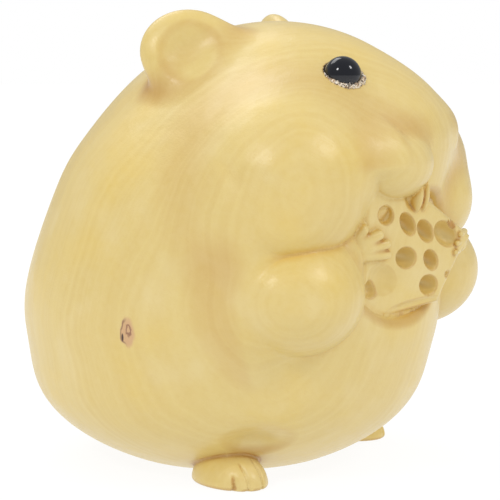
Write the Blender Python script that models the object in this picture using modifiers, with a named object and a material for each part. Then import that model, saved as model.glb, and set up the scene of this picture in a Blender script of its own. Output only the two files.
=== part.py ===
"""A carved boxwood hamster that holds a wedge of cheese, with two black bead eyes.

Metres, +Z up. The hamster faces -Y and stands on its flat underside and the soles of its
feet at z = 0. Its right side is at -X. The origin is under the middle of its box.
"""
import bpy
import bmesh
import numpy as np
from mathutils import Euler, Vector

# Driving sizes, in metres.
HEIGHT = 0.050            # floor to the top of the ears
EYE_DIAMETER = 0.0040     # bead eye
EYE_PROUD = 0.0013        # how far a bead stands out of the wood
EYE_CLEARANCE = 0.0003    # gap between a bead and its socket

# The carving is in shares of the height: all that follows counts in fiftieths of it.
UNIT = HEIGHT / 50

# Finish of the mesh, in the same shares.
ROUGH_VOXEL = 0.9         # grid of the rough block
MIDDLE_VOXEL = 0.5        # grid once the block has its form
CARVED_VOXEL = 0.34       # grid of the carved block
CARVE_STEPS = 6
BALL_SUBDIVISIONS = 4
BODY_TRIANGLES = 8900
FINE_SHARE = 0.35         # how freely faces go where the work is fine
BEAD_SEGMENTS = 16

# Big masses: centre and radii.
HAUNCHES = ((0, 11.8, 17.0), (23.1, 23.4, 18.2))
SEAT = ((0, 12.2, 10.0), (21.3, 21.3, 10.2))
SHOULDERS = ((0, 10.2, 24.0), (22.0, 22.0, 20.3))
SKULL = ((0, 6.0, 34.0), (14.6, 19.3, 14.9))
SNOUT = ((2.0, -5.5, 36.9), (7.6, 7.4, 5.6))
TAIL = ((0, 32.4, 7.4), (2.1, 2.2, 1.8))
LIP_HOLLOW = ((-1.5, -15.4, 26.6), (8.8, 6.4, 4.6))
CHEST_HOLLOW = ((-4.2, -15.0, 22.8), (9.0, 8.0, 5.9))
NEAR_LOBE = ((-4.9, -9.4, 33.9), (6.0, 5.1, 4.2), (0, 0, -14))
FAR_LOBE = ((4.9, -8.9, 35.8), (4.6, 4.4, 3.0), (0, -14, 20))
POUCH = ((9.8, -5.7, 29.2), (6.8, 7.3, 6.4))

# Pairs, given for the side at +X.
CHEEK = ((12.6, -2.4, 31.7), (8.3, 8.5, 8.7))
JOWL = ((15.2, -0.8, 28.2), (6.4, 7.4, 5.8))
FOREARM = ((13.8, -3.9, 20.7), (7.7, 7.2, 6.4))
WRIST = ((12.4, -5.6, 23.0), (10.4, -7.6, 24.8), 4.2, 2.3)
LEFT_ARM_FORWARD = 0.9    # the left arm reaches this much further out
EAR = ((10.4, 11.0, 45.4), (5.0, 2.1, 4.7), (-14, 0, 48))
EAR_HOLLOW = ((0, -2.9, -0.8), (3.8, 2.5, 4.2))
FOOT = ((13.4, 4.2, 0.2), (3.2, 4.6, 3.4), (0, 0, 18))
INSTEP = ((15.4, 0.0, 5.0), (4.2, 4.4, 1.8))
TOE_CUTS = (-1.3, 0.2, 1.6)
TOE_CUT_END = (0.8, -2.0, 3.0)     # share of the start's x, then y and z
TOE_CUT_RADII = (0.45, 0.15)
EYE_AT = (7.4, 43.2)      # across and up, the depth follows the wood
EYE_SETBACK = 1.5         # the left eye lies this much further back

# Fillets where forms grow into each other.
BARREL_FILLET = 3.0
HEAD_FILLET = 4.0
TAIL_FILLET = 1.2
POUCH_FILLET = 2.0
JOWL_FILLET = 2.0
WRIST_FILLET = 2.0
EAR_FILLET = 1.4
INSTEP_FILLET = 3.0
EAR_RIM = 0.9
LIP_EDGE = 0.8
CHEST_EDGE = 1.5
SOLE_EDGE = 0.6
# Crisp creases, where the knife stopped.
CHEESE_CREASE = 0.3
CREASE = 0.35
FINE_CREASE = 0.3
TOE_CREASE = 0.2
TOOTH_CREASE = 0.12
FINGER_CREASE = 0.35
# Creases that fade: the narrow and wide fillet, and where the fade starts and ends.
CHEEK_FILLETS = (1.0, 7.0)
CHEEK_FADE_BACK = (-6.0, 1.0)
CHEEK_FADE_UP = (28.0, 35.0)
LOBE_FILLETS = (0.3, 3.1)
LOBE_FADE_UP = (33.5, 38.0)
ARM_FILLETS = (0.35, 5.35)
ARM_FADE_BACK = (-6.0, -1.0)

# Cheese: a rounded block on its own axes, whose face looks along -y.
CHEESE_AT = (-0.6, -9.05, 24.6)
CHEESE_TURN = (6, 0, -20)
CHEESE_OUTLINE = (
    (-8.6, 7.8), (-1.0, 6.9), (7.9, 1.5), (6.0, -0.9), (4.4, -3.7), (3.5, -5.5), (-4.2, -6.4), (-8.6, -6.9)
)
CHEESE_HALF_DEPTH = 3.9
CHEESE_LUMP = (8.2, 4.4, 6.6)
CHEESE_ROUNDING = 0.8
# Across, up, half width, half length, lean and depth of each eye in the cheese.
CHEESE_EYES = (
    (-5.65, 4.5, 0.9, 1.15, -59, 1.2), (-2.34, 3.4, 0.82, 1.5, -44, 1.1), (0.38, 2.5, 0.86, 1.5, -46, 1.1),
    (3.5, 2.0, 1.15, 2.0, -58, 1.2), (-2.16, -0.2, 1.05, 1.5, -76, 1.4), (1.6, -0.7, 0.82, 1.3, -44, 1.3),
    (1.57, -3.4, 1.02, 1.4, -73, 1.4), (4.38, -2.5, 0.38, 0.46, -46, 0.35),
)
CHEESE_EYE_EDGE = 0.25
# Centre, its y counted from the cheese's face, radii and turn.
CHEESE_SCOOPS = (
    ((-5.5, -1.3, -2.3), (2.4, 2.1, 1.7), (0, 20, 0)),
    ((-0.3, -0.5, -5.5), (4.2, 1.0, 0.75), (0, -6, 0)),
)
BITE = ((-1.6, -0.2, 6.8), (1.6, 1.2, 2.1))
TEETH = (((-1.26, 0.35, 6.4), (0.56, 1.0, 1.9)), ((-0.32, 0.35, 6.4), (0.46, 0.95, 1.85)))
# Bars from root to tip with both radii: the palm first, then the fingers.
RIGHT_HAND = (
    ((-10.2, -2.0, 0.6), (-8.0, -3.3, 1.4), 1.9, 1.2),
    ((-9.2, -3.2, 2.2), (-8.8, -3.9, 3.2), 0.75, 0.6),
    ((-8.8, -3.6, 1.8), (-6.9, -4.3, 2.6), 0.75, 0.55),
    ((-8.6, -3.6, 1.1), (-5.7, -4.3, 1.55), 0.72, 0.5),
    ((-8.6, -3.6, 0.4), (-5.4, -4.2, 0.45), 0.72, 0.5),
)
LEFT_HAND = (
    ((8.5, 0.6, 0.3), (7.6, -1.8, 0.4), 1.5, 1.1),
    ((7.8, -2.9, 1.5), (5.8, -4.2, 1.6), 0.45, 0.35),
    ((7.7, -3.0, 0.6), (5.7, -4.3, 0.75), 0.45, 0.35),
    ((7.6, -2.8, -0.4), (5.8, -4.2, -0.25), 0.5, 0.38),
)

# Where the work is fine: from and to on x, y and z.
FINE_AREA = ((-10, -25, 16.5), (10, -7.5, 37))
SOLE_SNAP = 0.05          # what lies lower than this is laid flat on the floor

BOXWOOD_COLOUR = (0.74, 0.57, 0.26)
BEAD_COLOUR = (0.01, 0.01, 0.012)


def turned(points, centre, turn):
    """The points on axes that stand at centre and are turned by degrees about X, Y and Z."""
    return (points - np.array(centre)) @ np.array(Euler(np.radians(turn)).to_matrix())


def mirrored(points):
    """The points with the side at -X folded over to +X."""
    folded = points.copy()
    folded[:, 0] = np.abs(folded[:, 0])
    return folded


def egg(points, centre, radii, turn=(0, 0, 0)):
    """Depth under an ellipsoid's skin, below zero inside."""
    local = turned(points, centre, turn)
    radii = np.array(radii, float)
    near = np.linalg.norm(local / radii, axis=1)
    steep = np.linalg.norm(local / radii**2, axis=1)
    return near * (near - 1) / np.maximum(steep, 1e-9)


def limb(points, start, end, start_radius, end_radius):
    """A round bar that tapers from start to end."""
    start = np.array(start, float)
    along = np.array(end, float) - start
    share = np.clip((points - start) @ along / (along @ along), 0, 1)
    radius = start_radius + (end_radius - start_radius) * share
    return np.linalg.norm(points - start - share[:, None] * along, axis=1) - radius


def block(points, outline, half_depth, rounding):
    """A flat slab with a straight-sided outline in x and z, its edges rounded."""
    x, z = points[:, 0], points[:, 2]
    nearest = np.full(len(points), np.inf)
    side = np.ones(len(points))
    for here, there in zip(outline, outline[-1:] + outline[:-1]):
        ex, ez = there[0] - here[0], there[1] - here[1]
        wx, wz = x - here[0], z - here[1]
        share = np.clip((wx * ex + wz * ez) / (ex * ex + ez * ez), 0, 1)
        nearest = np.minimum(nearest, (wx - ex * share) ** 2 + (wz - ez * share) ** 2)
        above, below, left = z >= here[1], z < there[1], ex * wz > ez * wx
        crossed = (above & below & left) | (~above & ~below & ~left)
        side = np.where(crossed, -side, side)
    flat = side * np.sqrt(nearest) + rounding
    deep = np.abs(points[:, 1]) - half_depth + rounding
    outside = np.hypot(np.maximum(flat, 0), np.maximum(deep, 0))
    return np.minimum(np.maximum(flat, deep), 0) + outside - rounding


def join(first, second, fillet):
    """Two forms grown together, with a fillet of about the given width between them."""
    share = np.clip(0.5 + 0.5 * (second - first) / fillet, 0, 1)
    return second + (first - second) * share - fillet * share * (1 - share)


def cut(form, tool, fillet):
    """The form with the tool's space taken away, its edge rounded."""
    return -join(-form, tool, fillet)


def ramp(value, low, high):
    """A soft step from 0 at low to 1 at high."""
    share = np.clip((value - low) / (high - low), 0, 1)
    return share * share * (3 - 2 * share)


def fading(fillets, share):
    """A fillet that widens from the narrow one to the wide one."""
    narrow, wide = fillets
    return narrow + (wide - narrow) * share


def masses(points):
    """The barrel body, the head and the snout, grown together."""
    form = egg(points, *HAUNCHES)
    form = join(form, egg(points, *SEAT), BARREL_FILLET)
    form = join(form, egg(points, *SHOULDERS), BARREL_FILLET)
    form = join(form, egg(points, *SKULL), HEAD_FILLET)
    form = join(form, egg(points, *TAIL), TAIL_FILLET)
    return join(form, egg(points, *SNOUT), HEAD_FILLET)


def face(form, points):
    """Pouched cheeks, the hollows under the lip and behind the cheese, and the muzzle's lobes."""
    pair = mirrored(points)
    up = points[:, 2]
    form = cut(form, egg(points, *LIP_HOLLOW), LIP_EDGE)
    form = cut(form, egg(points, *CHEST_HOLLOW), CHEST_EDGE)
    soft = np.maximum(ramp(pair[:, 1], *CHEEK_FADE_BACK), ramp(up, *CHEEK_FADE_UP))
    form = join(form, egg(pair, *CHEEK), fading(CHEEK_FILLETS, soft))
    form = join(form, egg(pair, *JOWL), JOWL_FILLET)
    form = join(form, egg(points, *POUCH), POUCH_FILLET)
    crisp = fading(LOBE_FILLETS, ramp(up, *LOBE_FADE_UP))
    form = join(form, egg(points, *FAR_LOBE), crisp)
    return join(form, egg(points, *NEAR_LOBE), crisp)


def arms(form, points):
    """Plump forearms, crisp in front and fading into the flanks."""
    pair = mirrored(points)
    pair[:, 1] += LEFT_ARM_FORWARD * (points[:, 0] > 0)
    arm = join(egg(pair, *FOREARM), limb(pair, *WRIST), WRIST_FILLET)
    return join(form, arm, fading(ARM_FILLETS, ramp(pair[:, 1], *ARM_FADE_BACK)))


def cheese(points):
    """The wedge with its eyes and scoops, and the teeth in their bite, on its own axes."""
    face_at = -CHEESE_HALF_DEPTH
    wedge = block(points, CHEESE_OUTLINE, CHEESE_HALF_DEPTH, CHEESE_ROUNDING)
    for (x, y, z), radii, turn in CHEESE_SCOOPS:
        wedge = cut(wedge, egg(points, (x, face_at + y, z), radii, turn), FINE_CREASE)
    for x, z, half_width, half_length, lean, depth in CHEESE_EYES:
        radii = (half_width, depth, half_length)
        wedge = cut(wedge, egg(points, (x, face_at, z), radii, (0, lean, 0)), CHEESE_EYE_EDGE)
    (x, y, z), radii = BITE
    wedge = cut(wedge, egg(points, (x, face_at + y, z), radii), FINE_CREASE)
    for (x, y, z), radii in TEETH:
        wedge = join(wedge, egg(points, (x, face_at + y, z), radii), TOOTH_CREASE)
    return wedge


def hand(points, bars):
    """A palm with its fingers, on the cheese's axes."""
    grown = limb(points, *bars[0])
    for finger in bars[1:]:
        grown = join(grown, limb(points, *finger), FINGER_CREASE)
    return grown


def ears(points):
    """Round ears, hollowed in front under a curled rim."""
    centre, radii, turn = EAR
    local = turned(mirrored(points), centre, turn)
    return cut(egg(local, (0, 0, 0), radii), egg(local, *EAR_HOLLOW), EAR_RIM)


def feet(points):
    """Short feet with three cuts between the toes."""
    centre, radii, turn = FOOT
    local = turned(mirrored(points), centre, turn)
    foot = egg(local, (0, 0, 0), radii)
    inward, back, up = TOE_CUT_END
    for x in TOE_CUTS:
        groove = limb(local, (x, -radii[1], 0), (inward * x, back, up), *TOE_CUT_RADII)
        foot = cut(foot, groove, TOE_CREASE)
    return foot


def carving(points):
    """The whole figure: distance to its skin, below zero inside the wood."""
    form = arms(face(masses(points), points), points)
    on_cheese = turned(points, CHEESE_AT, CHEESE_TURN)
    form = join(form, cheese(on_cheese), CHEESE_CREASE)
    form = join(form, hand(on_cheese, RIGHT_HAND), FINE_CREASE)
    form = join(form, hand(on_cheese, LEFT_HAND), FINE_CREASE)
    form = join(form, ears(points), EAR_FILLET)
    form = cut(form, egg(mirrored(points), *INSTEP), INSTEP_FILLET)
    form = join(form, feet(points), CREASE)
    return cut(form, points[:, 2], SOLE_EDGE)


def clear_scene():
    """Empty the file of objects and meshes."""
    for thing in list(bpy.data.objects):
        bpy.data.objects.remove(thing, do_unlink=True)
    for mesh in list(bpy.data.meshes):
        bpy.data.meshes.remove(mesh)


def collection(name):
    """A new collection in the scene."""
    made = bpy.data.collections.new(name)
    bpy.context.scene.collection.children.link(made)
    return made


def material(name, colour, roughness):
    """A plain finish for one kind of piece."""
    finish = bpy.data.materials.new(name)
    finish.use_nodes = True
    shader = finish.node_tree.nodes["Principled BSDF"]
    shader.inputs["Base Color"].default_value = (*colour, 1)
    shader.inputs["Roughness"].default_value = roughness
    shader.inputs["Metallic"].default_value = 0
    return finish


def put(name, mesh, group, finish):
    """An object of the given mesh in a collection."""
    piece = bpy.data.objects.new(name, mesh)
    mesh.materials.append(finish)
    group.objects.link(piece)
    return piece


def evaluated(piece):
    """A mesh of the piece as its modifiers leave it."""
    bpy.context.view_layer.update()
    graph = bpy.context.evaluated_depsgraph_get()
    return bpy.data.meshes.new_from_object(piece.evaluated_get(graph), depsgraph=graph)


def remeshed(mesh, voxel):
    """The mesh as one even skin on a grid of the given size."""
    piece = bpy.data.objects.new("block", mesh)
    bpy.context.scene.collection.objects.link(piece)
    remesh = piece.modifiers.new("one skin", "REMESH")
    remesh.mode = "VOXEL"
    remesh.voxel_size = voxel
    skin = evaluated(piece)
    bpy.data.objects.remove(piece, do_unlink=True)
    return skin


def add_ball(bm, centre, radii, axes, side=1):
    """A ball stretched along its own axes, for one mass or one thin bar."""
    for vert in bmesh.ops.create_icosphere(bm, subdivisions=BALL_SUBDIVISIONS, radius=1)["verts"]:
        vert.co = Vector(centre) + axes @ (Vector(radii) * vert.co)
        vert.co.x *= side


def axes_of(turn=(0, 0, 0)):
    """The turned axes of a mass."""
    return Euler(np.radians(turn)).to_matrix()


def rough_block():
    """Balls for the big masses and limbs, made one skin."""
    single = [HAUNCHES, SHOULDERS, SKULL, SNOUT, TAIL, POUCH, NEAR_LOBE, FAR_LOBE]
    single.append((CHEESE_AT, CHEESE_LUMP, CHEESE_TURN))
    bm = bmesh.new()
    for centre, radii, *turn in single:
        add_ball(bm, centre, radii, axes_of(*turn))
    for centre, radii, *turn in (CHEEK, JOWL, FOREARM, FOOT, EAR):
        add_ball(bm, centre, radii, axes_of(*turn))
        add_ball(bm, centre, radii, axes_of(*turn), side=-1)
    mesh = bpy.data.meshes.new("rough block")
    bm.to_mesh(mesh)
    bm.free()
    return mesh


def with_fingers(mesh):
    """The mesh with balls for the teeth and fingers, which are too thin for the rough block."""
    bm = bmesh.new()
    bm.from_mesh(mesh)
    on_cheese = axes_of(CHEESE_TURN)
    for (x, y, z), radii in TEETH:
        place = Vector(CHEESE_AT) + on_cheese @ Vector((x, y - CHEESE_HALF_DEPTH, z))
        add_ball(bm, place, radii, on_cheese)
    for start, end, start_radius, end_radius in RIGHT_HAND + LEFT_HAND:
        along = on_cheese @ (Vector(end) - Vector(start))
        place = Vector(CHEESE_AT) + on_cheese @ ((Vector(start) + Vector(end)) / 2)
        width = (start_radius + end_radius) / 2
        radii = (width, width, along.length / 2 + width)
        add_ball(bm, place, radii, along.to_track_quat("Z", "Y").to_matrix())
    bm.to_mesh(mesh)
    bm.free()
    return mesh


def on_the_skin(places, reach):
    """The places moved along the carving's slope, by at most reach a step, until they lie on it."""
    step, least_slope = 0.02, 0.25
    for _ in range(CARVE_STEPS):
        depth = carving(places)
        slope = np.stack([carving(places + step * axis) - depth for axis in np.eye(3)], axis=1) / step
        steep = np.maximum((slope * slope).sum(axis=1), least_slope)
        move = -depth[:, None] * slope / steep[:, None]
        length = np.linalg.norm(move, axis=1, keepdims=True)
        places = places + move * np.minimum(1, reach / np.maximum(length, 1e-9))
    return places


def carve(mesh, reach):
    """Even the mesh out and move its points onto the carving."""
    bm = bmesh.new()
    bm.from_mesh(mesh)
    bmesh.ops.smooth_vert(
        bm, verts=bm.verts[:], factor=0.5, use_axis_x=True, use_axis_y=True, use_axis_z=True
    )
    places = on_the_skin(np.array([vert.co[:] for vert in bm.verts]), reach)
    for vert, place in zip(bm.verts, places):
        vert.co = place
    bm.to_mesh(mesh)
    bm.free()
    return mesh


def fine_work(place):
    """True on the cheese, the hands and the mouth."""
    low, high = FINE_AREA
    return all(start < value < end for start, value, end in zip(low, place, high))


def hamster(group, finish):
    """The figure and its cheese, one block of wood, cut down to a moderate number of faces."""
    carved = rough_block()
    for voxel in (ROUGH_VOXEL, MIDDLE_VOXEL):
        carved = carve(remeshed(carved, voxel), voxel)
    carved = with_fingers(carved)
    for _ in range(2):
        carved = carve(remeshed(carved, CARVED_VOXEL), CARVED_VOXEL / 2)
    piece = bpy.data.objects.new("carved", carved)
    bpy.context.scene.collection.objects.link(piece)
    plain = piece.vertex_groups.new(name="plain")
    for vert in carved.vertices:
        plain.add([vert.index], FINE_SHARE if fine_work(vert.co) else 1, "REPLACE")
    fewer = piece.modifiers.new("fewer faces", "DECIMATE")
    fewer.ratio = BODY_TRIANGLES / (2 * len(carved.polygons))
    fewer.vertex_group = "plain"
    mesh = evaluated(piece)
    bpy.data.objects.remove(piece, do_unlink=True)
    places = np.array([vert.co[:] for vert in mesh.vertices])
    places[:, 2] = np.where(places[:, 2] < SOLE_SNAP, 0, places[:, 2])
    middle = (places.min(axis=0) + places.max(axis=0)) / 2
    middle[2] = 0
    mesh.vertices.foreach_set("co", ((places - middle) * UNIT).ravel())
    mesh.update()
    return put("hamster_body", mesh, group, finish), middle


def skin_at(across, up):
    """The frontmost place on the skin there, and the way it faces."""
    inside, outside, halvings = 0.0, -25.0, 40
    for _ in range(halvings):
        middle = (inside + outside) / 2
        if carving(np.array([[across, middle, up]]))[0] < 0:
            inside = middle
        else:
            outside = middle
    place = np.array([across, inside, up])
    step = 0.05
    slope = carving(place + step * np.eye(3)) - carving(place - step * np.eye(3))
    return place, slope / np.linalg.norm(slope)


def sphere(name, radius, centre, group, finish):
    """A round bead on its centre."""
    bm = bmesh.new()
    bmesh.ops.create_uvsphere(bm, u_segments=BEAD_SEGMENTS, v_segments=BEAD_SEGMENTS // 2, radius=radius)
    mesh = bpy.data.meshes.new(name)
    bm.to_mesh(mesh)
    bm.free()
    mesh.shade_smooth()
    piece = put(name, mesh, group, finish)
    piece.location = centre
    return piece


def eye(side, name, body, middle, group, cutters, finish):
    """A bead set into the head, and the round socket that takes it."""
    place, facing = skin_at(side * EYE_AT[0], EYE_AT[1])
    if side > 0:
        place[1] += EYE_SETBACK
    radius = EYE_DIAMETER / 2
    centre = (place - middle) * UNIT + facing * (EYE_PROUD - radius)
    sphere(name, radius, centre, group, finish)
    socket = sphere(name + "_socket", radius + EYE_CLEARANCE, centre, cutters, finish)
    socket.hide_render = True
    socket.display_type = "WIRE"
    hole = body.modifiers.new(name + " socket", "BOOLEAN")
    hole.operation = "DIFFERENCE"
    hole.solver = "EXACT"
    hole.object = socket


def build():
    """Both materials, the carved block and its two eyes."""
    clear_scene()
    parts = collection("hamster figurine")
    cutters = collection("cutters")
    boxwood = material("boxwood", BOXWOOD_COLOUR, 0.42)
    black = material("black bead", BEAD_COLOUR, 0.08)
    body, middle = hamster(parts, boxwood)
    eye(-1, "eye_right", body, middle, parts, cutters, black)
    eye(1, "eye_left", body, middle, parts, cutters, black)
    body.data.shade_smooth()


build()
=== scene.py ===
"""The looks of a carved boxwood hamster that holds a wedge of cheese.

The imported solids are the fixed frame. The figure here is the same carving with a finer skin,
and it stands where the solid stands. Metres, +Z up, the hamster faces -Y.
"""

import math

import bpy
import numpy as np
from mathutils import Euler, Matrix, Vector


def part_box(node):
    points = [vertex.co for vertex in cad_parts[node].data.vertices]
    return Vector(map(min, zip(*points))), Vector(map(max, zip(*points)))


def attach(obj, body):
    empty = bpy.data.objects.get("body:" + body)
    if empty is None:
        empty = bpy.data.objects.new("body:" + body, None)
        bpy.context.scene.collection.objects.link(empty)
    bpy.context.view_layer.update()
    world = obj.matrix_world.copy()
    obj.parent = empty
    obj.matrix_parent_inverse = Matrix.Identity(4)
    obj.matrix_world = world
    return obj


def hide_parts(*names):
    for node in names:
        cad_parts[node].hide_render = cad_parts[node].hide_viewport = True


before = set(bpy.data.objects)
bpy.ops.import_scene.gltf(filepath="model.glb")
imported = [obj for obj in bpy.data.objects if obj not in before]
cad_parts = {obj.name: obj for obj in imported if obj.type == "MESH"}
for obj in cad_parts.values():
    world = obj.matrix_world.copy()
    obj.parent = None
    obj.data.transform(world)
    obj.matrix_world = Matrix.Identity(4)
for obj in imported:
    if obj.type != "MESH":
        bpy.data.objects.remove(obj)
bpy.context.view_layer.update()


# --- The hamster and its cheese ------------------------------------------------------------
# One block of pale boxwood, carved in the round, sanded smooth and waxed. The cheese, the
# hands and the feet are cut from the same block, so creases part them and no seams.

MM = 0.001
BACK_OF_HAUNCH = 35.2
body_low, body_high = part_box("hamster_body")
# The carving is worked out in millimetres about this point of the floor.
CARVING_AT = Vector(((body_low[0] + body_high[0]) / 2, body_high[1] - BACK_OF_HAUNCH * MM, 0))

# Big masses: centre and radii.
HAUNCHES = ((0, 11.8, 17.0), (23.1, 23.4, 18.2))
SEAT = ((0, 12.2, 10.0), (21.3, 21.3, 10.2))
SHOULDERS = ((0, 10.2, 24.0), (22.0, 22.0, 20.3))
SKULL = ((0, 6.0, 34.0), (14.6, 19.3, 14.9))
SNOUT = ((2.0, -5.5, 36.9), (7.6, 7.4, 5.6))
TAIL = ((0, 32.4, 7.4), (2.1, 2.2, 1.8))
LIP_HOLLOW = ((-1.5, -15.4, 26.6), (8.8, 6.4, 4.6))
CHEST_HOLLOW = ((-4.2, -15.0, 22.8), (9.0, 8.0, 5.9))
NEAR_LOBE = ((-4.9, -9.4, 33.9), (6.0, 5.1, 4.2), (0, 0, -14))
FAR_LOBE = ((4.9, -8.9, 35.8), (4.6, 4.4, 3.0), (0, -14, 20))

# Pairs, given for the side at +X.
CHEEK = ((12.6, -2.4, 31.7), (8.3, 8.5, 8.7))
JOWL = ((15.2, -0.8, 28.2), (6.4, 7.4, 5.8))
FOREARM = ((13.8, -3.9, 20.7), (7.7, 7.2, 6.4))
WRIST = ((12.5, -5.5, 23.3), (10.5, -7.5, 25.1), 4.2, 2.4)
EAR = ((9.95, 10.9, 45.4), (5.4, 2.15, 4.7), (-14, 0, 48))
EAR_HOLLOW = ((0.2, -3.2, -0.8), (3.7, 2.4, 4.1))
POUCH = ((9.8, -5.7, 29.2), (6.8, 7.3, 6.4))
FOOT = ((13.4, 4.0, 0.2), (3.3, 4.9, 3.5), (0, 0, 18))
INSTEP = ((16.7, -1.9, 4.6), (4.0, 4.0, 1.9))
FAR_ARM_FORWARD = 0.9
# Face, arms, cheese and hands all lie in front of this.
FRONT_ENDS = 12
# Across the foot, and how high each cut between the toes runs.
TOE_CUTS = ((-0.4, 3.0), (1.18, 2.8), (2.17, 1.7))
TOE_CUT_DEPTH = 0.4
TOE_CUT_HALF_WIDTH = 0.32

# A small knot in the flank, with a crack from start to end along its edge.
KNOT_AT = (-22.9, 10.4, 16.9)
KNOT_CRACK = ((-23.3, 11.3, 17.1), (-23.25, 11.2, 15.7), 0.17, 0.12)

# The wedge of cheese on its own axes, its face towards -y.
CHEESE_AT = (-0.6, -9.05, 24.6)
CHEESE_TURN = (6, 0, -20)
CHEESE_OUTLINE = (
    (-8.6, 7.8), (-1.0, 6.9), (7.9, 1.5), (6.0, -0.9), (4.4, -3.7), (3.5, -5.5), (-4.2, -6.4), (-8.6, -6.9)
)
CHEESE_HALF_DEPTH = 3.9
CHEESE_LUMP = (8.2, 4.4, 6.6)
CHEESE_ROUNDING = 0.8
# Across, up, half width, half length, lean and depth of each eye in the cheese. Each is
# scooped with an egg whose middle stands a little in front of the face.
EYE_MIDDLE_AHEAD = 0.5
CHEESE_EYES = (
    (-5.65, 4.5, 0.95, 1.2, -59, 1.4), (-2.34, 3.4, 0.86, 1.55, -44, 1.4), (0.38, 2.5, 0.9, 1.55, -46, 1.4),
    (3.5, 2.0, 1.2, 2.0, -58, 1.4), (-2.16, -0.2, 1.12, 1.55, -76, 1.6), (1.6, -0.7, 0.88, 1.35, -44, 1.4),
    (1.57, -3.4, 1.08, 1.4, -73, 1.5), (4.38, -2.5, 0.42, 0.5, -46, 0.5),
)
# Centre, its y counted from the cheese's face, radii and turn.
CHEESE_SCOOPS = (
    ((-5.5, -0.6, -2.3), (2.4, 1.2, 1.75), (0, 20, 0)),
    ((-6.9, -0.5, -3.2), (1.0, 1.6, 1.0), (0, 0, 0)),
    ((-0.3, -0.5, -5.5), (4.4, 1.0, 0.75), (0, -6, 0)),
)
BITE = ((-1.6, -0.5, 6.8), (1.6, 1.35, 2.1))
TEETH = (((-1.28, 0.3, 6.4), (0.6, 1.0, 1.9)), ((-0.28, 0.3, 6.4), (0.48, 0.95, 1.85)))
# Bars from root to tip with both radii: the palm first, then the fingers.
NEAR_HAND = (
    ((-10.2, -2.0, 0.6), (-8.0, -3.3, 1.4), 1.9, 1.2),
    ((-9.2, -3.2, 2.2), (-8.8, -3.9, 3.2), 0.75, 0.6),
    ((-8.8, -3.6, 1.8), (-6.9, -4.3, 2.6), 0.75, 0.55),
    ((-8.6, -3.6, 1.1), (-5.7, -4.3, 1.55), 0.72, 0.5),
    ((-8.6, -3.6, 0.4), (-5.4, -4.2, 0.45), 0.72, 0.5),
)
FAR_HAND = (
    ((8.5, 0.6, 0.3), (7.6, -1.8, 0.4), 1.5, 1.1),
    ((7.4, -2.9, 1.8), (5.7, -3.95, 1.85), 0.42, 0.33),
    ((7.1, -3.0, 0.85), (5.3, -4.0, 0.9), 0.42, 0.33),
    ((6.6, -2.9, -0.15), (5.2, -3.95, -0.1), 0.44, 0.33),
)


def turned(points, centre, turn):
    """The points on axes that stand at centre and are turned by degrees about X, Y and Z."""
    return (points - np.array(centre)) @ np.array(Euler(np.radians(turn)).to_matrix())


def mirrored(points):
    """The points with the side at -X folded over to +X."""
    folded = points.copy()
    folded[:, 0] = np.abs(folded[:, 0])
    return folded


def egg(points, centre, radii, turn=(0, 0, 0)):
    """Depth under an ellipsoid's skin, below zero inside."""
    local = turned(points, centre, turn)
    radii = np.array(radii, float)
    near = np.linalg.norm(local / radii, axis=1)
    steep = np.linalg.norm(local / radii**2, axis=1)
    return near * (near - 1) / np.maximum(steep, 1e-9)


def limb(points, start, end, start_radius, end_radius):
    """A round bar that tapers from start to end."""
    start = np.array(start, float)
    along = np.array(end, float) - start
    share = np.clip((points - start) @ along / (along @ along), 0, 1)
    radius = start_radius + (end_radius - start_radius) * share
    return np.linalg.norm(points - start - share[:, None] * along, axis=1) - radius


def slab(points, outline, half_depth, rounding):
    """A flat slab with a straight-sided outline in x and z, its edges rounded."""
    x, z = points[:, 0], points[:, 2]
    nearest = np.full(len(points), np.inf)
    side = np.ones(len(points))
    for here, there in zip(outline, outline[-1:] + outline[:-1]):
        ex, ez = there[0] - here[0], there[1] - here[1]
        wx, wz = x - here[0], z - here[1]
        share = np.clip((wx * ex + wz * ez) / (ex * ex + ez * ez), 0, 1)
        nearest = np.minimum(nearest, (wx - ex * share) ** 2 + (wz - ez * share) ** 2)
        above, below, left = z >= here[1], z < there[1], ex * wz > ez * wx
        crossed = (above & below & left) | (~above & ~below & ~left)
        side = np.where(crossed, -side, side)
    flat = side * np.sqrt(nearest) + rounding
    deep = np.abs(points[:, 1]) - half_depth + rounding
    outside = np.hypot(np.maximum(flat, 0), np.maximum(deep, 0))
    return np.minimum(np.maximum(flat, deep), 0) + outside - rounding


def join(first, second, fillet):
    """Two forms grown together, with a fillet of about the given width between them."""
    share = np.clip(0.5 + 0.5 * (second - first) / fillet, 0, 1)
    return second + (first - second) * share - fillet * share * (1 - share)


def cut(form, tool, fillet):
    """The form with the tool's space taken away, its edge rounded."""
    return -join(-form, tool, fillet)


KNIFE_LINE_WIDTH = 0.4


def met(first, second, fillet, line):
    """Two forms grown together, with a knife line of the given depth cut where they meet."""
    across = np.clip(1 - np.abs(first - second) / KNIFE_LINE_WIDTH, 0, 1)
    return join(first, second, fillet) + line * across * across


def ramp(value, low, high):
    """A soft step from 0 at low to 1 at high."""
    share = np.clip((value - low) / (high - low), 0, 1)
    return share * share * (3 - 2 * share)


def barrel(points):
    """The plump body, the head and the snout, grown together."""
    form = egg(points, *HAUNCHES)
    form = join(form, egg(points, *SEAT), 3)
    form = join(form, egg(points, *SHOULDERS), 3)
    form = join(form, egg(points, *SKULL), 4)
    form = join(form, egg(points, *TAIL), 1.2)
    return join(form, egg(points, *SNOUT), 4)


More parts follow.
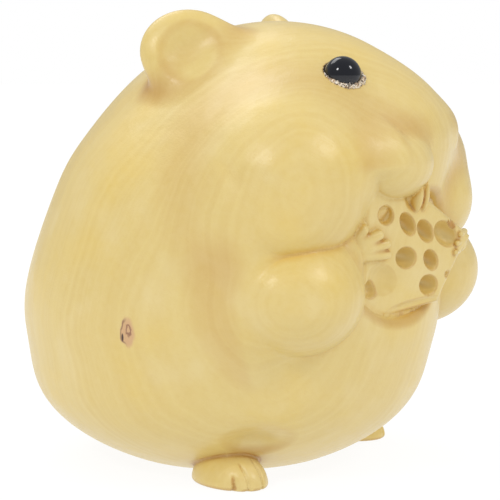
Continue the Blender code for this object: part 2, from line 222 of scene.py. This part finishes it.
def face(form, points):
    """Pouched cheeks, the hollows under the lip and behind the cheese, and the muzzle's lobes."""
    pair = mirrored(points)
    up = points[:, 2]
    form = cut(form, egg(points, *LIP_HOLLOW), 0.8)
    form = cut(form, egg(points, *CHEST_HOLLOW), 1.5)
    soft = np.maximum(ramp(pair[:, 1], -6, 1), ramp(up, 28, 35))
    form = join(form, egg(pair, *CHEEK), 1 + 6 * soft)
    form = join(form, egg(pair, *JOWL), 2)
    form = join(form, egg(points, *POUCH), 2)
    crisp = 0.25 + 2.8 * ramp(up, 34.5, 39.5)
    line = 0.1 * (1 - ramp(up, 34.5, 37.5))
    form = met(form, egg(points, *FAR_LOBE), crisp, line)
    # The near lobe runs into its cheek without a line.
    on_cheek = ramp(-points[:, 0], 5, 8) * ramp(up, 31.8, 34)
    return met(form, egg(points, *NEAR_LOBE), np.maximum(crisp, 0.25 + 2.8 * on_cheek), line * (1 - on_cheek))


def arms(form, points):
    """Plump forearms, crisp in front and fading into the flanks."""
    pair = mirrored(points)
    pair[:, 1] += FAR_ARM_FORWARD * (points[:, 0] > 0)
    arm = join(egg(pair, *FOREARM), limb(pair, *WRIST), 2)
    soft = ramp(pair[:, 1], -6.0, -1.0)
    return join(form, arm, 0.2 + 5 * soft)


def cheese(points):
    """The wedge with its eyes and scoops, and the teeth in their bite, on its own axes."""
    face_at = -CHEESE_HALF_DEPTH
    wedge = slab(points, CHEESE_OUTLINE, CHEESE_HALF_DEPTH, CHEESE_ROUNDING)
    for (x, y, z), radii, turn in CHEESE_SCOOPS:
        wedge = cut(wedge, egg(points, (x, face_at + y, z), radii, turn), 0.3)
    for x, z, half_width, half_length, lean, depth in CHEESE_EYES:
        radii = (half_width, depth + EYE_MIDDLE_AHEAD, half_length)
        wedge = cut(wedge, egg(points, (x, face_at - EYE_MIDDLE_AHEAD, z), radii, (0, lean, 0)), 0.25)
    (x, y, z), radii = BITE
    wedge = cut(wedge, egg(points, (x, face_at + y, z), radii), 0.3)
    for (x, y, z), radii in TEETH:
        wedge = join(wedge, egg(points, (x, face_at + y, z), radii), 0.12)
    return wedge


def hands(points):
    """Palms and fingers that close on the wedge from both sides, on its axes."""
    near = limb(points, *NEAR_HAND[0])
    for finger in NEAR_HAND[1:]:
        near = join(near, limb(points, *finger), 0.35)
    far = limb(points, *FAR_HAND[0])
    for finger in FAR_HAND[1:]:
        far = join(far, limb(points, *finger), 0.2)
    return np.minimum(near, far)


def ears(points):
    """Round ears, hollowed in front under a curled rim."""
    centre, radii, turn = EAR
    local = turned(mirrored(points), centre, turn)
    return cut(egg(local, (0, 0, 0), radii), egg(local, *EAR_HOLLOW), 1.0)


def feet(points):
    """Short feet with three cuts between the toes."""
    centre, radii, turn = FOOT
    local = turned(mirrored(points), centre, turn)
    foot = egg(local, (0, 0, 0), radii)
    for across, top in TOE_CUTS:
        near = np.clip(1 - np.abs(local[:, 0] - across) / TOE_CUT_HALF_WIDTH, 0, 1)
        foot += TOE_CUT_DEPTH * near * near * (1 - ramp(local[:, 2], top - 1.2, top)) * (local[:, 1] < 0)
    return foot


def carving(points):
    """The whole figure: distance to its skin, below zero inside the wood."""
    form = barrel(points)
    front = points[:, 1] < FRONT_ENDS
    near = points[front]
    ahead = arms(face(form[front], near), near)
    on_cheese = turned(near, CHEESE_AT, CHEESE_TURN)
    ahead = met(ahead, cheese(on_cheese), 0.2, 0.1)
    form[front] = met(ahead, hands(on_cheese), 0.2, 0.05)
    form = join(form, ears(points), 2.8)
    form = cut(form, egg(mirrored(points), *INSTEP), 1.4)
    form = join(form, feet(points), 0.35)
    form = cut(form, limb(points, *KNOT_CRACK), 0.08)
    return cut(form, points[:, 2], 0.6)


def on_the_skin(places, steps, reach):
    """The places moved along the carving's slope until they lie on it, by at most reach a step."""
    places = places.copy()
    loose = np.arange(len(places))
    nudge = 0.02
    for _ in range(steps):
        depth = carving(places[loose])
        off = np.abs(depth) > 0.002
        loose, depth = loose[off], depth[off]
        if len(loose) == 0:
            break
        here = places[loose]
        slope = np.stack([carving(here + nudge * axis) - depth for axis in np.eye(3)], axis=1) / nudge
        steep = np.maximum((slope * slope).sum(axis=1), 0.25)
        move = -depth[:, None] * slope / steep[:, None]
        length = np.linalg.norm(move, axis=1, keepdims=True)
        places[loose] = here + move * np.minimum(1, reach / np.maximum(length, 1e-9))
    return places


def pick(piece):
    """Make this the one selected and active object."""
    bpy.ops.object.select_all(action="DESELECT")
    piece.select_set(True)
    bpy.context.view_layer.objects.active = piece


def places_of(piece):
    """The mesh's corners as rows of x, y, z."""
    places = np.empty(3 * len(piece.data.vertices))
    piece.data.vertices.foreach_get("co", places)
    return places.reshape(-1, 3)


def lay(piece, places):
    """Put the mesh's corners at the given places."""
    piece.data.vertices.foreach_set("co", np.asarray(places).ravel())
    piece.data.update()


def remesh(piece, voxel):
    """One even skin over all that the piece holds."""
    pick(piece)
    skin = piece.modifiers.new("one skin", "REMESH")
    skin.mode = "VOXEL"
    skin.voxel_size = voxel
    bpy.ops.object.modifier_apply(modifier=skin.name)


def carve(piece, steps, reach):
    """Even the skin out and cut it down to the carving."""
    pick(piece)
    bpy.ops.object.mode_set(mode="EDIT")
    bpy.ops.mesh.select_all(action="SELECT")
    bpy.ops.mesh.vertices_smooth(factor=0.5, repeat=1)
    bpy.ops.object.mode_set(mode="OBJECT")
    lay(piece, on_the_skin(places_of(piece), steps, reach))


def lump(centre, radii, turn=(0, 0, 0), side=1):
    """A ball stretched to the size of one mass of the rough block."""
    across, back, up = centre
    rx, ry, rz = np.radians(turn)
    bpy.ops.mesh.primitive_ico_sphere_add(
        subdivisions=4, radius=1, scale=radii,
        location=(side * across, back, up), rotation=(rx, side * ry, side * rz),
    )
    return bpy.context.object


bpy.ops.object.select_all(action="DESELECT")
lumps = [lump(*mass) for mass in (HAUNCHES, SHOULDERS, SKULL, SNOUT, TAIL, POUCH, NEAR_LOBE, FAR_LOBE)]
lumps.append(lump(CHEESE_AT, CHEESE_LUMP, CHEESE_TURN))
for side in (1, -1):
    lumps += [lump(*mass, side=side) for mass in (CHEEK, JOWL, FOREARM)]
    lumps += [lump(*mass, side=side) for mass in (FOOT, EAR)]
bpy.ops.object.select_all(action="DESELECT")
for ball in lumps:
    ball.select_set(True)
hamster = lumps[0]
bpy.context.view_layer.objects.active = hamster
bpy.ops.object.join()
bpy.ops.object.transform_apply(location=True, rotation=True, scale=True)
hamster.name = "carved_hamster"

# The rough block, in two skins.
for voxel, steps in ((0.9, 6), (0.5, 4)):
    remesh(hamster, voxel)
    carve(hamster, steps, voxel)

# Teeth and fingers are too thin for the rough block: they are set on it once it has its form.
cheese_axes = Euler(np.radians(CHEESE_TURN)).to_matrix()
slivers = []
for (x, y, z), radii in TEETH:
    slivers.append((Vector((x, y - CHEESE_HALF_DEPTH, z)), radii, (0, 0, 1)))
for start, end, start_radius, end_radius in NEAR_HAND + FAR_HAND:
    along = Vector(end) - Vector(start)
    width = (start_radius + end_radius) / 2
    slivers.append(((Vector(start) + Vector(end)) / 2, (width, width, along.length / 2 + width), along))
small = []
for middle, radii, along in slivers:
    grain = (cheese_axes @ Vector(along)).to_track_quat("Z", "Y").to_euler()
    small.append(lump(Vector(CHEESE_AT) + cheese_axes @ middle, radii, np.degrees(grain)))
bpy.ops.object.select_all(action="DESELECT")
for bar in small:
    bar.select_set(True)
hamster.select_set(True)
bpy.context.view_layer.objects.active = hamster
bpy.ops.object.join()


# How much of each eye's mouth is pressed in, and how thick the skin is that goes with it.
EYE_MOUTH_SHARE = 0.92
FACE_SKIN = 0.35


def press_eyes(piece):
    """Press the cheese's eyes into its face, so that the skin lines them before it is carved."""
    local = turned(places_of(piece), CHEESE_AT, CHEESE_TURN)
    for x, z, half_width, half_length, lean, depth in CHEESE_EYES:
        on_eye = turned(local, (x, -CHEESE_HALF_DEPTH, z), (0, lean, 0))
        share = np.hypot(on_eye[:, 0] / half_width, on_eye[:, 2] / half_length)
        inside = (share < EYE_MOUTH_SHARE) & (np.abs(on_eye[:, 1]) < FACE_SKIN)
        deep = (depth + EYE_MIDDLE_AHEAD) * np.sqrt(1 - share[inside] ** 2)
        local[inside, 1] = -CHEESE_HALF_DEPTH - EYE_MIDDLE_AHEAD + deep
    lay(piece, local @ np.array(cheese_axes).T + np.array(CHEESE_AT))


FINE_SKIN = 0.28
FINEST_SKIN = 0.19
remesh(hamster, FINE_SKIN)
press_eyes(hamster)
carve(hamster, 12, 0.6 * FINE_SKIN)
remesh(hamster, FINEST_SKIN)
carve(hamster, 6, 0.6 * FINEST_SKIN)

# Where the knife worked fine the skin stays as it is, where it worked finest the skin is made
# finer still, and elsewhere it is thinned.
FINE_WORK = (
    ((0, -11, 27), 10.8), ((7.2, -5.8, 43.2), 3.2), ((-7.2, -5.8, 43.2), 3.2),
    ((13.4, 2.5, 1.5), 5.2), ((-13.4, 2.5, 1.5), 5.2), (KNOT_AT, 2.4),
    ((-13.5, -9.0, 25.5), 3.6), ((-18.2, -6.8, 25.0), 2.6),
)
FINEST_WORK = (((0.2, -12.5, 25.6), 8.2), (KNOT_AT, 1.8), ((-12.9, 0.6, 1.4), 2.6))
PLAIN_TRIANGLES = 108000


def within(places, balls):
    """True for each place that lies inside one of the balls."""
    return np.any([np.linalg.norm(places - middle, axis=1) < reach for middle, reach in balls], axis=0)


plain = hamster.vertex_groups.new(name="plain")
fine = within(places_of(hamster), FINE_WORK)
plain.add(np.flatnonzero(~fine).tolist(), 1.0, "REPLACE")
plain.add(np.flatnonzero(fine).tolist(), 0.05, "REPLACE")
thinner = hamster.modifiers.new("thinner", "DECIMATE")
thinner.ratio = PLAIN_TRIANGLES / (2 * len(hamster.data.polygons))
thinner.vertex_group = "plain"
bpy.ops.object.modifier_apply(modifier=thinner.name)
hamster.vertex_groups.clear()

centres = np.empty(3 * len(hamster.data.polygons))
hamster.data.polygons.foreach_get("center", centres)
bpy.context.tool_settings.mesh_select_mode = (False, False, True)
bpy.ops.object.mode_set(mode="EDIT")
bpy.ops.mesh.select_all(action="DESELECT")
bpy.ops.object.mode_set(mode="OBJECT")
hamster.data.polygons.foreach_set("select", within(centres.reshape(-1, 3), FINEST_WORK))
bpy.ops.object.mode_set(mode="EDIT")
bpy.ops.mesh.subdivide(number_cuts=1)
bpy.ops.mesh.select_all(action="SELECT")
bpy.ops.mesh.vertices_smooth(factor=0.3, repeat=1)
bpy.ops.object.mode_set(mode="OBJECT")
lay(hamster, on_the_skin(places_of(hamster), 3, 0.05))

lay(hamster, places_of(hamster) * MM + np.array(CARVING_AT))

# Each bead sits in a round socket a little wider than itself.
EYE_DIAMETER = 0.0040
SOCKET_PLAY = 0.00015
# The right bead was pushed in a little less than the left one.
BEAD_SITS = {
    "eye_right": Vector((-0.00013, -0.00022, 0.00033)),
    "eye_left": Vector((-0.0003, 0.0003, -0.0001)),
}
sockets = {}
for name in ("eye_right", "eye_left"):
    low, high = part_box(name)
    middle = (Vector(low) + Vector(high)) / 2
    middle += BEAD_SITS[name]
    bpy.ops.mesh.primitive_uv_sphere_add(
        segments=64, ring_count=32, radius=EYE_DIAMETER / 2 + SOCKET_PLAY, location=middle
    )
    ball = bpy.context.object
    pick(ball)
    bpy.ops.object.transform_apply(location=True)
    socket = hamster.modifiers.new(name + " socket", "BOOLEAN")
    socket.operation = "DIFFERENCE"
    socket.solver = "EXACT"
    socket.object = ball
    pick(hamster)
    bpy.ops.object.modifier_apply(modifier=socket.name)
    bpy.data.objects.remove(ball, do_unlink=True)
    sockets[name] = middle
bpy.ops.object.shade_smooth()

# How far each place lies down in a crease or a hollow, as painted shade that darkens the wood there.
places = (places_of(hamster) - np.array(CARVING_AT)) / MM
outward = np.empty(3 * len(places))
hamster.data.vertex_normals.foreach_get("vector", outward)
outward = outward.reshape(-1, 3)
painted_shade = np.zeros(len(places))
for reach in (0.4, 0.9, 1.8):
    painted_shade += np.clip(1 - carving(places + outward * reach) / reach, 0, 1) / 3
# The painted shade is kept weak under the belly and round the ears.
painted_shade *= (0.3 + 0.7 * ramp(places[:, 2], 3, 10)) * (1 - 0.5 * ramp(places[:, 2], 37, 41))
crease_shade = hamster.data.attributes.new("crease_shade", "FLOAT", "POINT")
crease_shade.data.foreach_set("value", painted_shade)
# Painted shade in the bottoms of the knife cuts, a hair wide.
HAIR = 0.2
cut_shade_share = np.clip(1 - carving(places + outward * HAIR) / HAIR, 0, 1)
cut_shade = hamster.data.attributes.new("cut_shade", "FLOAT", "POINT")
cut_shade.data.foreach_set("value", cut_shade_share)


def material(name):
    """A new material with its shader, and a function that adds nodes to it."""
    finish = bpy.data.materials.new(name)
    finish.use_nodes = True
    tree = finish.node_tree
    shader = tree.nodes["Principled BSDF"]

    def add(kind, inputs=(), **settings):
        made = tree.nodes.new("ShaderNode" + kind)
        for key, value in settings.items():
            setattr(made, key, value)
        for key, value in dict(inputs).items():
            if isinstance(value, bpy.types.NodeSocket):
                tree.links.new(value, made.inputs[key])
            else:
                made.inputs[key].default_value = value
        return made

    def link(source, target):
        tree.links.new(source, shader.inputs[target])

    return finish, shader, add, link


# Growth layers lie square to this direction: they show as rings on the cheek and on the arm,
# and as streaks where the flank turns away. The fibres run across it.
LAYER_NORMAL = (-0.787, -0.611, -0.015)
FIBRE = Vector((-0.52, 0.66, 0.54))

DARK_RING = (0.650, 0.485, 0.163)
PALE_RING = (0.678, 0.523, 0.190)
YELLOW_WOOD = (0.700, 0.498, 0.100)
PALE_WOOD = (0.725, 0.595, 0.30)
FLECK = (0.60, 0.38, 0.13)
MOTTLE = (0.76, 0.63, 0.34)
# These two are painted shade: they darken the wood below them.
PAINTED_CREASE_SHADE = (0.93, 0.74, 0.36)
PAINTED_CUT_SHADE = (0.66, 0.42, 0.2)
KNOT_WOOD = (0.56, 0.31, 0.17)
KNOT_RIM = (0.20, 0.09, 0.05)
KNOT_CURL = (0.22, 0.09, 0.045)
KNOT_SPLIT = (0.035, 0.012, 0.006)

boxwood, shader, add, link = material("waxed boxwood")
place = add("TexCoord").outputs["Object"]
corner = [-value / MM for value in CARVING_AT]
in_mm = add("Mapping", {"Vector": place, "Location": corner, "Scale": (1 / MM, 1 / MM, 1 / MM)}).outputs[0]


def noise(scale, detail=2.0, roughness=0.5, where=in_mm):
    """A cloudy pattern of about scale clouds to the millimetre."""
    inputs = {"Vector": where, "Scale": scale, "Detail": detail, "Roughness": roughness}
    return add("TexNoise", inputs).outputs["Fac"]


def between(value, low, high, to_low=0.0, to_high=1.0, smooth=False):
    """The value's place between low and high, given as a share from to_low to to_high."""
    kind = "SMOOTHSTEP" if smooth else "LINEAR"
    sockets_in = {"Value": value, "From Min": low, "From Max": high, "To Min": to_low, "To Max": to_high}
    return add("MapRange", sockets_in, interpolation_type=kind).outputs[0]


def times(first, second):
    """Two values multiplied."""
    return add("Math", {0: first, 1: second}, operation="MULTIPLY").outputs[0]


def tinted(below, share, colour, blend="MIX"):
    """The colour laid over what is below it, by the given share."""
    return add("MixRGB", {"Fac": share, "Color1": below, "Color2": (*colour, 1)}, blend_type=blend).outputs[0]


# Growth rings: fine lines of uneven strength, warped a little.
drift = noise(0.07)
depth = add("VectorMath", {0: in_mm, 1: LAYER_NORMAL}, operation="DOT_PRODUCT").outputs["Value"]
wavy = add("Math", {0: drift, 1: 3.2, 2: depth}, operation="MULTIPLY_ADD").outputs[0]
years = add("TexNoise", {"W": wavy, "Scale": 1.9, "Detail": 2.0}, noise_dimensions="1D").outputs["Fac"]
decades = add("TexNoise", {"W": wavy, "Scale": 0.28, "Detail": 1.0}, noise_dimensions="1D").outputs["Fac"]
rings = add("Math", {0: years, 1: decades}, operation="ADD").outputs[0]

# Short flecks along the fibres, a soft mottle, and broad drifts of yellow and of paler wood.
turn_to_fibre = Vector((0, 0, 1)).rotation_difference(FIBRE).to_euler()
along_fibre = add(
    "Mapping", {"Vector": in_mm, "Rotation": turn_to_fibre, "Scale": (0.16, 0.16, 1.5)}, vector_type="TEXTURE"
).outputs[0]
fibres = noise(1.0, 2.0, 0.6, along_fibre)
mottle = noise(1.4, 3.0, 0.6)
broad = noise(0.11, 2.0)
patches = noise(0.19, 2.0)

wood = tinted((*DARK_RING, 1), between(rings, 0.7, 1.3), PALE_RING)
wood = tinted(wood, between(broad, 0.5, 0.72, 0.0, 0.4), YELLOW_WOOD)
wood = tinted(wood, between(patches, 0.52, 0.75, 0.0, 0.35), PALE_WOOD)
wood = tinted(wood, between(fibres, 0.56, 0.72, 0.0, 0.16), FLECK)
wood = tinted(wood, between(mottle, 0.35, 0.65, 0.0, 0.10), MOTTLE)

# Painted shade darkens the hollows and creases, and the bottoms of the knife cuts.
crease_shade = add("Attribute", attribute_name="crease_shade", attribute_type="GEOMETRY").outputs["Fac"]
wood = tinted(wood, between(crease_shade, 0.05, 0.75, 0.0, 0.9), PAINTED_CREASE_SHADE, "MULTIPLY")
cut_shade = add("Attribute", attribute_name="cut_shade", attribute_type="GEOMETRY").outputs["Fac"]
wood = tinted(wood, between(cut_shade, 0.06, 0.4, 0.0, 0.75), PAINTED_CUT_SHADE, "MULTIPLY")

# The knot: a pinkish brown eye with a darker rim towards the back, a curl in its upper front
# and a dark crack along the rim. It is as wide as it is long on axes pressed flat in height.
knot_middle = on_the_skin(np.array([KNOT_AT]), 8, 0.5)[0].tolist()
from_knot = add("VectorMath", {0: in_mm, 1: knot_middle}, operation="SUBTRACT").outputs[0]
knot_frame = add("Mapping", {"Vector": from_knot, "Scale": (1.0, 1.0, 0.58)}).outputs[0]
knot_wobble = noise(1.6, 2.0, 0.5, knot_frame)
knot_reach = add("VectorMath", {0: knot_frame}, operation="LENGTH").outputs["Value"]
knot_way = add("Math", {0: knot_wobble, 1: 0.5, 2: knot_reach}, operation="MULTIPLY_ADD").outputs[0]
wood = tinted(wood, between(knot_way, 0.85, 1.3, 0.75, 0.0, True), KNOT_WOOD)
to_back = add("SeparateXYZ", {"Vector": knot_frame}).outputs["Y"]
rim = times(between(knot_way, 0.90, 0.98), between(knot_way, 1.12, 1.02))
wood = tinted(wood, times(rim, between(to_back, 0.0, 0.45, 0.0, 0.8)), KNOT_RIM)
from_curl = add("VectorMath", {0: knot_frame, 1: (0, -0.18, 0.15)}, operation="SUBTRACT").outputs[0]
curl_reach = add("VectorMath", {0: from_curl}, operation="LENGTH").outputs["Value"]
curl_wobble = noise(3.0, 2.0, 0.5, knot_frame)
curl_way = add("Math", {0: curl_wobble, 1: 0.5, 2: curl_reach}, operation="MULTIPLY_ADD").outputs[0]
curl = times(between(curl_way, 0.40, 0.47), between(curl_way, 0.64, 0.54))
wood = tinted(wood, times(curl, 0.8), KNOT_CURL)
from_split = add("VectorMath", {0: from_knot, 1: (0, 0.56, -0.5)}, operation="SUBTRACT").outputs[0]
split_frame = add("Mapping", {"Vector": from_split, "Scale": (0.0, 7.5, 2.2)}).outputs[0]
split = add("VectorMath", {0: split_frame}, operation="LENGTH").outputs["Value"]
near_knot = between(knot_way, 1.4, 1.5, 1.0, 0.0)
wood = tinted(wood, times(between(split, 0.7, 1.1, 0.95, 0.0), near_knot), KNOT_SPLIT)
link(wood, "Base Color")

# The fibres stand up a little, and the knife left broad, shallow facets.
grain_height = add("Math", {0: fibres, 1: 0.6, 2: noise(3.2, 3.0, 0.65)}, operation="MULTIPLY_ADD").outputs[0]
fine_bump = add("Bump", {"Height": grain_height, "Strength": 0.35, "Distance": 0.00006}).outputs[0]
facets = {"Height": noise(0.45, 1.0), "Strength": 0.5, "Distance": 0.0002, "Normal": fine_bump}
tooled = add("Bump", facets).outputs[0]
link(tooled, "Normal")
link(tooled, "Coat Normal")
link(between(mottle, 0.3, 0.7, 0.38, 0.5), "Roughness")
shader.inputs["Coat Weight"].default_value = 0.35
shader.inputs["Coat Roughness"].default_value = 0.24
hamster.data.materials.clear()
hamster.data.materials.append(boxwood)
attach(hamster, "root")
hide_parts("hamster_body")


# --- The eyes ------------------------------------------------------------------------------
# Two polished black beads, bought in and pressed into drilled sockets with a drop of glue.
# Each still has its threading hole, which lies out of sight across the socket.

THREAD_HOLE = 0.0005
BLACK_GLASS = (0.005, 0.006, 0.010)
GREY_BLOOM = (0.09, 0.085, 0.08)
DUST = (0.34, 0.29, 0.24)
black, shader, add, link = material("black bead")
place = add("TexCoord").outputs["Object"]
bead_mm = add("Mapping", {"Vector": place, "Scale": (1 / MM, 1 / MM, 1 / MM)}).outputs[0]
height = add("SeparateXYZ", {"Vector": bead_mm}).outputs["Z"]
# Dust lies on the lower half, where a cloth doesn't reach past the glue.
low_down = between(height, 42.9, 41.7, 0.0, 1.0, True)
grit = noise(7.0, 3.0, 0.7, bead_mm)
dust = times(between(grit, 0.56, 0.66, 0.0, 0.8), low_down)
bloom = times(between(noise(2.5, 2.0, 0.5, bead_mm), 0.4, 0.7, 0.0, 0.2), low_down)
skin = tinted((*BLACK_GLASS, 1), bloom, GREY_BLOOM)
link(tinted(skin, dust, DUST), "Base Color")
link(between(dust, 0.0, 0.8, 0.07, 0.6), "Roughness")
link(add("Bump", {"Height": grit, "Strength": 0.08, "Distance": 0.00002}).outputs[0], "Normal")
for name, middle in sockets.items():
    bpy.ops.object.select_all(action="DESELECT")
    bpy.ops.mesh.primitive_uv_sphere_add(segments=64, ring_count=48, radius=EYE_DIAMETER / 2)
    bead = bpy.context.object
    bead.name = "bead_" + name
    # The caps at both ends are opened and bridged by the bore.
    bpy.context.tool_settings.mesh_select_mode = (False, False, True)
    bpy.ops.object.mode_set(mode="OBJECT")
    for cap in bead.data.polygons:
        cap.select = cap.center.xy.length < THREAD_HOLE / 2
    bpy.ops.object.mode_set(mode="EDIT")
    bpy.ops.mesh.delete(type="FACE")
    bpy.ops.mesh.select_mode(type="EDGE")
    bpy.ops.mesh.select_all(action="DESELECT")
    bpy.ops.mesh.select_non_manifold()
    bpy.ops.mesh.bridge_edge_loops()
    bpy.ops.mesh.select_all(action="SELECT")
    bpy.ops.mesh.normals_make_consistent(inside=False)
    bpy.ops.object.mode_set(mode="OBJECT")
    bore_lean = math.radians(35 if middle.x > 0 else -35)
    bead.rotation_euler = (0, math.radians(90), bore_lean)
    bead.location = middle
    bpy.ops.object.transform_apply(location=True, rotation=True)
    bpy.ops.object.shade_smooth_by_angle(angle=math.radians(40))
    bead.data.materials.append(black)
    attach(bead, "root")
    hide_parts(name)


# --- The glue round the eyes ---------------------------------------------------------------
# A crust of old glue, gone whitish and full of dust and grit, squeezed out round the lower
# edge of each bead when it was pressed in.

RIM_PARTS = 240
RIM_SIDES = 12
RIM_RADIUS = 2.0
RIM_THICKNESS = 0.26
STAINED_GLUE = (0.74, 0.62, 0.45)
CHALKY_GLUE = (0.90, 0.85, 0.76)
BLACK_GRIT = (0.10, 0.07, 0.045)
BROWN_GRIT = (0.42, 0.24, 0.11)
glue, shader, add, link = material("old glue and dust")
place = add("TexCoord").outputs["Object"]
glue_mm = add("Mapping", {"Vector": place, "Scale": (1 / MM, 1 / MM, 1 / MM)}).outputs[0]
crumbs = add("TexVoronoi", {"Vector": glue_mm, "Scale": 7.0, "Randomness": 1.0}).outputs["Color"]
tone = add("SeparateColor", {"Color": crumbs}).outputs[0]
stain = noise(2.2, 3.0, 0.6, glue_mm)
chalk = tinted((*STAINED_GLUE, 1), between(stain, 0.4, 0.65), CHALKY_GLUE)
chalk = tinted(chalk, between(tone, 0.74, 0.78, 0.0, 0.9), BLACK_GRIT)
link(tinted(chalk, between(tone, 0.25, 0.20, 0.0, 0.8), BROWN_GRIT), "Base Color")
shader.inputs["Roughness"].default_value = 0.75
link(add("Bump", {"Height": tone, "Strength": 0.6, "Distance": 0.00006}).outputs[0], "Normal")
# The rim of each crust follows the wood: thick below the bead and gone above it.
grit_sizes = np.random.default_rng(5)
for name, middle in sockets.items():
    centre = (np.array(middle) - np.array(CARVING_AT)) / MM
    outward = Vector(centre) - Vector(SKULL[0])
    facing = outward.normalized()
    across = facing.cross(Vector((0, 0, 1))).normalized() * (1 if centre[0] > 0 else -1)
    upright = across.cross(facing) * (1 if centre[0] > 0 else -1)
    bpy.ops.object.select_all(action="DESELECT")
    bpy.ops.mesh.primitive_torus_add(
        major_segments=RIM_PARTS, minor_segments=RIM_SIDES,
        major_radius=RIM_RADIUS, minor_radius=RIM_THICKNESS, location=(0, 0, 0),
    )
    crust = bpy.context.object
    crust.name = "glue_" + name
    rough = places_of(crust)
    round_rim = np.degrees(np.arctan2(rough[:, 1], rough[:, 0]))
    # Crumbs of uneven size along the rim.
    crumbs = grit_sizes.uniform(0.45, 1.6, RIM_PARTS)
    crumbs = 0.6 * crumbs + 0.2 * np.roll(crumbs, 1) + 0.2 * np.roll(crumbs, -1)
    crumbly = np.repeat(crumbs, RIM_SIDES) * grit_sizes.uniform(0.75, 1.25, len(rough))
    fade = np.clip((np.cos(np.radians(round_rim + 90)) + 0.25) / 0.45, 0.0, 1.0)
    way = np.radians(round_rim)
    mid = RIM_RADIUS * np.stack([np.cos(way), np.sin(way), 0 * way], axis=1)
    crust_axes = np.array([across, upright, facing])
    # More glue came out towards the snout than towards the ear.
    to_front = ramp(-(mid @ crust_axes)[:, 1], -1.2, 1.2)
    thick = (0.05 + fade * crumbly * (0.55 + 0.6 * to_front))[:, None]
    ring_places = on_the_skin(centre + mid @ crust_axes, 6, 0.5)
    # Pull the crust on to the bead's own rim.
    from_bead = ring_places - centre
    reach = np.linalg.norm(from_bead, axis=1, keepdims=True)
    ring_places = centre + from_bead / reach * np.clip(reach, 2.1, 2.25)
    lay(crust, (ring_places + ((rough - mid) * thick) @ crust_axes) * MM + np.array(CARVING_AT))
    bpy.ops.object.mode_set(mode="EDIT")
    bpy.ops.mesh.select_all(action="SELECT")
    bpy.ops.mesh.normals_make_consistent(inside=False)
    bpy.ops.object.mode_set(mode="OBJECT")
    bpy.ops.object.shade_smooth()
    crust.data.materials.append(glue)
    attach(crust, "root")


# --- The studio ----------------------------------------------------------------------------
# A wide white sweep under an even white surround, a large softbox overhead and behind, and
# two smaller ones in front, which show as highlights on the cheek, the arm and the beads.

bpy.ops.object.select_all(action="DESELECT")
bpy.ops.mesh.primitive_circle_add(vertices=96, radius=4.0, fill_type="NGON")
floor = bpy.context.object
floor.name = "white_floor"
paper, shader, add, link = material("white paper")
shader.inputs["Base Color"].default_value = (0.12, 0.12, 0.12, 1)
shader.inputs["Roughness"].default_value = 1.0
shader.inputs["Specular IOR Level"].default_value = 0.0
shader.inputs["Emission Color"].default_value = (1, 1, 1, 1)
shader.inputs["Emission Strength"].default_value = 0.9
floor.data.materials.append(paper)

CAMERA_AZIMUTH = -60
CAMERA_PITCH = 6.1
CAMERA_AT = Vector((-166.7, -87.0, 43.9)) * MM + CARVING_AT
camera_data = bpy.data.cameras.new("photo view")
camera_data.lens = 123.55
camera_data.sensor_width = 36
camera_data.clip_start = 0.01
camera = bpy.data.objects.new("photo view", camera_data)
bpy.context.scene.collection.objects.link(camera)
camera.location = CAMERA_AT
camera.rotation_euler = (math.radians(90 - CAMERA_PITCH), 0, math.radians(CAMERA_AZIMUTH))
bpy.context.scene.camera = camera

# The sweep behind is white, and what lights the wood and what the wax and the beads mirror
# are dimmer.
ROOM_LIGHT = 0.95
ROOM_MIRRORED = 0.45
surround = bpy.data.worlds.new("white surround")
bpy.context.scene.world = surround
surround.use_nodes = True
sky = surround.node_tree.nodes["Background"]
sky.inputs["Color"].default_value = (1, 1, 1, 1)
path = surround.node_tree.nodes.new("ShaderNodeLightPath")
room = surround.node_tree.nodes.new("ShaderNodeMapRange")
room.inputs["To Min"].default_value = ROOM_LIGHT
room.inputs["To Max"].default_value = ROOM_MIRRORED
surround.node_tree.links.new(path.outputs["Is Glossy Ray"], room.inputs["Value"])
behind = surround.node_tree.nodes.new("ShaderNodeMath")
behind.operation = "MAXIMUM"
surround.node_tree.links.new(room.outputs[0], behind.inputs[0])
surround.node_tree.links.new(path.outputs["Is Camera Ray"], behind.inputs[1])
surround.node_tree.links.new(behind.outputs[0], sky.inputs["Strength"])
bpy.context.scene.view_settings.view_transform = "Standard"

camera_axes = camera.rotation_euler.to_matrix()
MIDDLE_OF_FIGURE = Vector((0, 0, 0.025))


def softbox(name, towards, distance, width, height, power):
    """A flat lamp seen from the figure in a direction given to the camera's right, up and back."""
    lamp = bpy.data.lights.new(name, "AREA")
    lamp.shape = "RECTANGLE"
    lamp.size = width
    lamp.size_y = height
    lamp.energy = power
    stand = bpy.data.objects.new(name, lamp)
    bpy.context.scene.collection.objects.link(stand)
    direction = (camera_axes @ Vector(towards)).normalized()
    stand.location = MIDDLE_OF_FIGURE + direction * distance
    stand.rotation_euler = direction.to_track_quat("Z", "Y").to_euler()


softbox("key", (-0.46, 0.54, 0.70), 0.6, 0.10, 0.10, 0.63)
softbox("fill", (0.64, 0.64, 0.41), 0.7, 0.12, 0.18, 0.8)
softbox("overhead", (-0.34, 0.86, -0.40), 0.7, 0.45, 0.25, 1.0)
